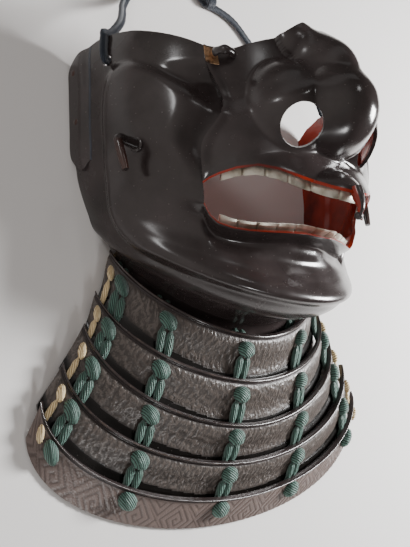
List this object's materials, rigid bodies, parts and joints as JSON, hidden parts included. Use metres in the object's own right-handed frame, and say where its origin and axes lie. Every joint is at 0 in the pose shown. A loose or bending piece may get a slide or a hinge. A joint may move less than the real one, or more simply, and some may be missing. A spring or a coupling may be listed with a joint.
{
  "type": "samurai face guard",
  "caption": "Lacquered iron half mask with a hooked nose, open mouth with teeth and a laced throat guard of overlapping lames, lying on its back with its tie cord.",
  "frame": {"origin": "middle of the base on the table, under the mask and throat guard, without the tie cord", "axes": "+X to the wearer's left, +Y up the face from throat to brow, +Z forward from the face and up from the table"},
  "size_m": [0.2136, 0.3408, 0.1087],
  "materials": {
    "black_lacquer": "gloss black lacquer over iron, red lacquer inside",
    "silvered_teeth": "dull silvered sheet",
    "aged_brass": "worn, dark",
    "grained_lacquer": "grained leather under dark lacquer, gloss rims",
    "teal_silk": "flat silk braid",
    "tan_silk": "flat silk braid",
    "navy_silk": "flat silk braid"
  },
  "bodies": {
    "root": {"face_plate": "black_lacquer", "nose_plate": "black_lacquer", "upper_teeth": "silvered_teeth", "lower_teeth": "silvered_teeth", "ear_plate_right": "black_lacquer", "ear_plate_left": "black_lacquer", "cord_peg_right": "black_lacquer", "cord_peg_left": "black_lacquer", "nose_hook_right": "aged_brass", "nose_hook_left": "aged_brass", "lame_1": "grained_lacquer", "lame_2": "grained_lacquer", "lame_3": "grained_lacquer", "lame_4": "grained_lacquer", "lame_5": "grained_lacquer", "lace_1": "teal_silk", "lace_2": "teal_silk", "lace_3": "teal_silk", "lace_4": "teal_silk", "lace_5": "teal_silk", "edge_lace_right": "tan_silk", "edge_lace_left": "tan_silk", "tie_cord": "navy_silk"}
  },
  "joints": []
}
